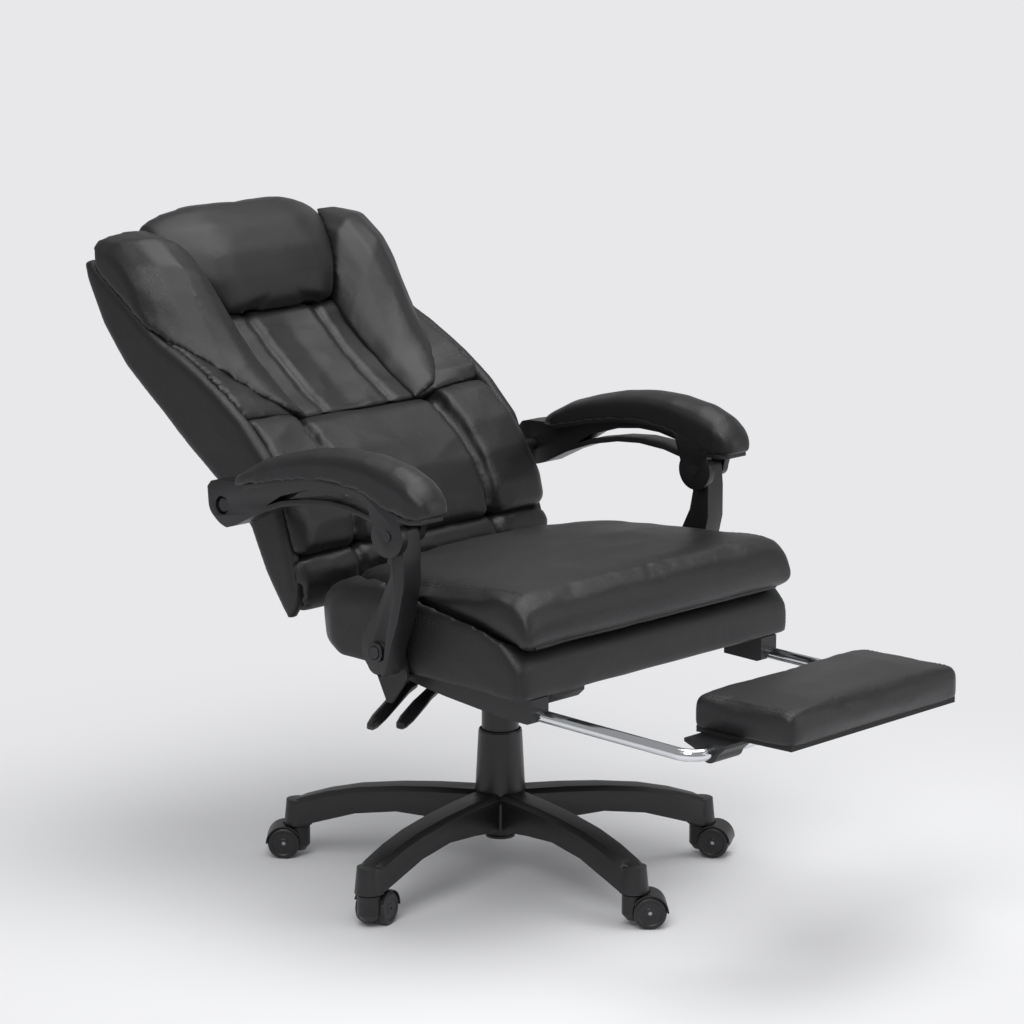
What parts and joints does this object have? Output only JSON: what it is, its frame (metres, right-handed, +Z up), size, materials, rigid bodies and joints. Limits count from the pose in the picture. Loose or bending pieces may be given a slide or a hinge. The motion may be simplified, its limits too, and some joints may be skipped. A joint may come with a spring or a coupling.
{
  "type": "reclining office chair",
  "caption": "Reclining office chair with a padded winged back, linked armrests, a gas column on a star base with casters and a pull-out flip-up footrest.",
  "frame": {"origin": "on the floor, on the axis of the gas column", "axes": "+Z up, -Y the way the chair faces, -X the sitter's right hand side, where both levers are"},
  "size_m": [0.7448, 1.326, 0.985],
  "materials": {
    "nylon": "fine moulded grain",
    "cover_plastic": "satin moulded",
    "wheel": "satin nylon with a smooth tread",
    "steel": "bright turned steel",
    "dark_steel": "blackened bolt heads",
    "black_steel": "black powder coat",
    "chrome_tube": "polished chrome plate",
    "lever": "gloss moulded",
    "arm_plastic": "satin moulded with fine grain",
    "plywood": "plywood stained black, nearly hidden",
    "leather": "smooth black upholstery leather with a soft sheen"
  },
  "bodies": {
    "base": {"star_base": "nylon", "column_tube": "black_steel", "cover_lower": "cover_plastic"},
    "caster_1": {"caster_hood_1": "nylon", "caster_stem_1": "steel"},
    "wheels_1": {"caster_wheels_1": "wheel"},
    "caster_2": {"caster_hood_2": "nylon", "caster_stem_2": "steel"},
    "wheels_2": {"caster_wheels_2": "wheel"},
    "caster_3": {"caster_hood_3": "nylon", "caster_stem_3": "steel"},
    "wheels_3": {"caster_wheels_3": "wheel"},
    "caster_4": {"caster_hood_4": "nylon", "caster_stem_4": "steel"},
    "wheels_4": {"caster_wheels_4": "wheel"},
    "caster_5": {"caster_hood_5": "nylon", "caster_stem_5": "steel"},
    "wheels_5": {"caster_wheels_5": "wheel"},
    "cover_stage": {"cover_middle": "cover_plastic"},
    "lift": {"column_piston": "steel", "cover_upper": "cover_plastic"},
    "seat": {"mechanism_housing": "black_steel", "seat_plate": "black_steel", "seat_board": "plywood", "seat_box": "leather", "seat_cushion": "leather", "hinge_lugs": "black_steel", "hinge_pin": "steel", "arm_brackets": "black_steel", "post_bolts": "dark_steel", "rail_guides": "nylon"},
    "lift_lever": {"lift_lever": "lever"},
    "recline_lever": {"recline_lever": "lever"},
    "back": {"back_brackets": "black_steel", "back_board": "plywood", "back_shell": "leather", "back_side_right": "leather", "back_side_left": "leather", "lumbar_roll": "leather", "middle_cushion": "leather", "upper_cushion": "leather", "wing_right": "leather", "wing_left": "leather", "head_pillow": "leather", "rear_bolts": "dark_steel"},
    "post_right": {"arm_post_right": "arm_plastic"},
    "arm_right": {"arm_beam_right": "arm_plastic", "arm_pad_right": "leather", "knuckle_pin_right": "dark_steel"},
    "post_left": {"arm_post_left": "arm_plastic"},
    "arm_left": {"arm_beam_left": "arm_plastic", "arm_pad_left": "leather", "knuckle_pin_left": "dark_steel"},
    "footrest_frame": {"footrest_rail_right": "chrome_tube", "footrest_rail_left": "chrome_tube", "footrest_bar": "chrome_tube", "rail_end_caps": "cover_plastic"},
    "footrest": {"pad_clamps": "nylon", "footrest_board": "plywood", "footrest_pad": "leather"}
  },
  "joints": [
    {"name": "caster_swivel_1", "type": "hinge", "parent": "base", "child": "caster_1", "pos_m": [0.28687, -0.15902, 0.055], "axis": [0, 0, 1], "continuous": true},
    {"name": "wheel_spin_1", "type": "hinge", "parent": "caster_1", "child": "wheels_1", "pos_m": [0.29788, -0.17807, 0.0245], "axis": [0.866, 0.5, 0], "continuous": true},
    {"name": "caster_swivel_2", "type": "hinge", "parent": "base", "child": "caster_2", "pos_m": [0.23988, 0.2237, 0.055], "axis": [0, 0, 1], "continuous": true},
    {"name": "wheel_spin_2", "type": "hinge", "parent": "caster_2", "child": "wheels_2", "pos_m": [0.25674, 0.23784, 0.0245], "axis": [-0.6428, 0.766, 0], "continuous": true},
    {"name": "caster_swivel_3", "type": "hinge", "parent": "base", "child": "caster_3", "pos_m": [-0.13862, 0.29727, 0.055], "axis": [0, 0, 1], "continuous": true},
    {"name": "wheel_spin_3", "type": "hinge", "parent": "caster_3", "child": "wheels_3", "pos_m": [-0.15334, 0.31362, 0.0245], "axis": [-0.7431, -0.6691, 0], "continuous": true},
    {"name": "caster_swivel_4", "type": "hinge", "parent": "base", "child": "caster_4", "pos_m": [-0.32555, -0.03997, 0.055], "axis": [0, 0, 1], "continuous": true},
    {"name": "wheel_spin_4", "type": "hinge", "parent": "caster_4", "child": "wheels_4", "pos_m": [-0.30435, -0.03409, 0.0245], "axis": [-0.2672, 0.9636, 0], "continuous": true},
    {"name": "caster_swivel_5", "type": "hinge", "parent": "base", "child": "caster_5", "pos_m": [-0.06259, -0.32197, 0.055], "axis": [0, 0, 1], "continuous": true},
    {"name": "wheel_spin_5", "type": "hinge", "parent": "caster_5", "child": "wheels_5", "pos_m": [-0.04703, -0.33753, 0.0245], "axis": [0.7071, 0.7071, 0], "continuous": true},
    {"name": "seat_lift", "type": "slide", "parent": "base", "child": "lift", "axis": [0, 0, 1], "range_m": [-0.044, 0.03]},
    {"name": "cover_slide", "type": "slide", "parent": "base", "child": "cover_stage", "axis": [0, 0, 1], "range_m": [-0.023, 0.016]},
    {"name": "seat_swivel", "type": "hinge", "parent": "lift", "child": "seat", "pos_m": [0, 0, 0.285], "axis": [0, 0, 1], "continuous": true},
    {"name": "back_recline", "type": "hinge", "parent": "seat", "child": "back", "pos_m": [0, 0.172, 0.437], "axis": [-1, 0, 0], "range_deg": [-32, 0]},
    {"name": "post_tilt_right", "type": "hinge", "parent": "seat", "child": "post_right", "pos_m": [-0.3365, -0.08, 0.422], "axis": [-1, 0, 0], "range_deg": [-32, 0]},
    {"name": "arm_tilt_right", "type": "hinge", "parent": "post_right", "child": "arm_right", "pos_m": [-0.338, -0.123, 0.599], "axis": [-1, 0, 0], "range_deg": [0, 23.5]},
    {"name": "post_tilt_left", "type": "hinge", "parent": "seat", "child": "post_left", "pos_m": [0.3365, -0.08, 0.422], "axis": [-1, 0, 0], "range_deg": [-32, 0]},
    {"name": "arm_tilt_left", "type": "hinge", "parent": "post_left", "child": "arm_left", "pos_m": [0.338, -0.123, 0.599], "axis": [-1, 0, 0], "range_deg": [0, 23.5]},
    {"name": "footrest_slide", "type": "slide", "parent": "seat", "child": "footrest_frame", "axis": [0, 0.9993, 0.0384], "range_m": [0, 0.19]},
    {"name": "footrest_flip", "type": "hinge", "parent": "footrest_frame", "child": "footrest", "pos_m": [0, -0.592, 0.3408], "axis": [-1, 0, 0], "range_deg": [0, 180]},
    {"name": "lift_lever_hinge", "type": "hinge", "parent": "seat", "child": "lift_lever", "pos_m": [-0.028, -0.013, 0.339], "axis": [0, 1, 0], "range_deg": [0, 5], "stiffness_Nm_per_rad": 3},
    {"name": "recline_lever_hinge", "type": "hinge", "parent": "seat", "child": "recline_lever", "pos_m": [-0.028, -0.055, 0.336], "axis": [0, 1, 0], "range_deg": [0, 5], "stiffness_Nm_per_rad": 3}
  ],
  "couplings": [
    {"joint": "cover_slide", "follows": "seat_lift", "ratio": 0.5},
    {"joint": "post_tilt_right", "follows": "back_recline", "ratio": 0.992},
    {"joint": "arm_tilt_right", "follows": "back_recline", "ratio": -0.721},
    {"joint": "post_tilt_left", "follows": "back_recline", "ratio": 0.992},
    {"joint": "arm_tilt_left", "follows": "back_recline", "ratio": -0.721}
  ]
}
